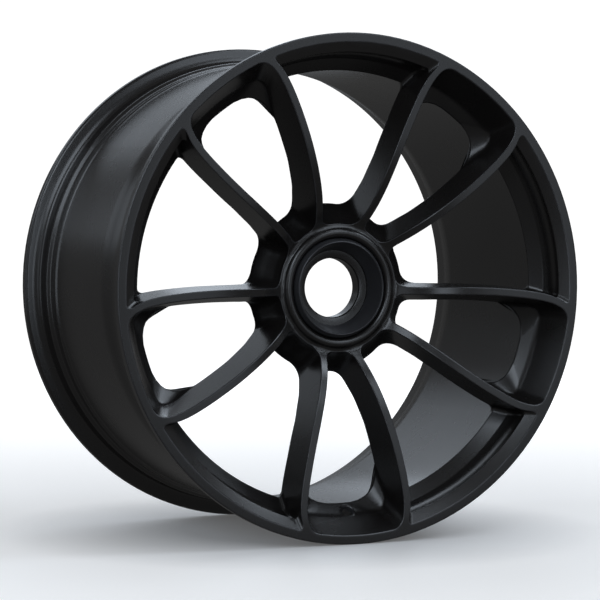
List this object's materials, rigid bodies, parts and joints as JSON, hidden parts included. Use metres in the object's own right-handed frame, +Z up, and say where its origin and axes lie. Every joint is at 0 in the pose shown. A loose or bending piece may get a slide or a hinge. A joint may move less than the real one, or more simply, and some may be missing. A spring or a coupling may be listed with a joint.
{
  "type": "racing wheel",
  "caption": "Forged centre-lock racing wheel with paired slim spokes, a deep turned barrel, a conical nut seat and drive pin bushes.",
  "frame": {"origin": "centre of the wheel: on the axis, half way between the outer faces of the two rim flanges", "axes": "+Y along the wheel's axis towards the car (the pictured outboard face looks along -Y), +Z up through the centre of an open window, with the valve hole at the bottom"},
  "size_m": [0.543, 0.301, 0.543],
  "materials": {
    "satin_black_paint": "satin black powder coat on forged aluminium",
    "hard_anodised_alloy": "dark hard anodised, fine turned",
    "plated_steel": "zinc plated, satin"
  },
  "bodies": {
    "root": {"wheel_face": "satin_black_paint", "rim_barrel": "satin_black_paint", "nut_seat_ring": "hard_anodised_alloy", "drive_bush_1": "plated_steel", "drive_bush_2": "plated_steel", "drive_bush_3": "plated_steel", "drive_bush_4": "plated_steel", "drive_bush_5": "plated_steel"}
  },
  "joints": []
}
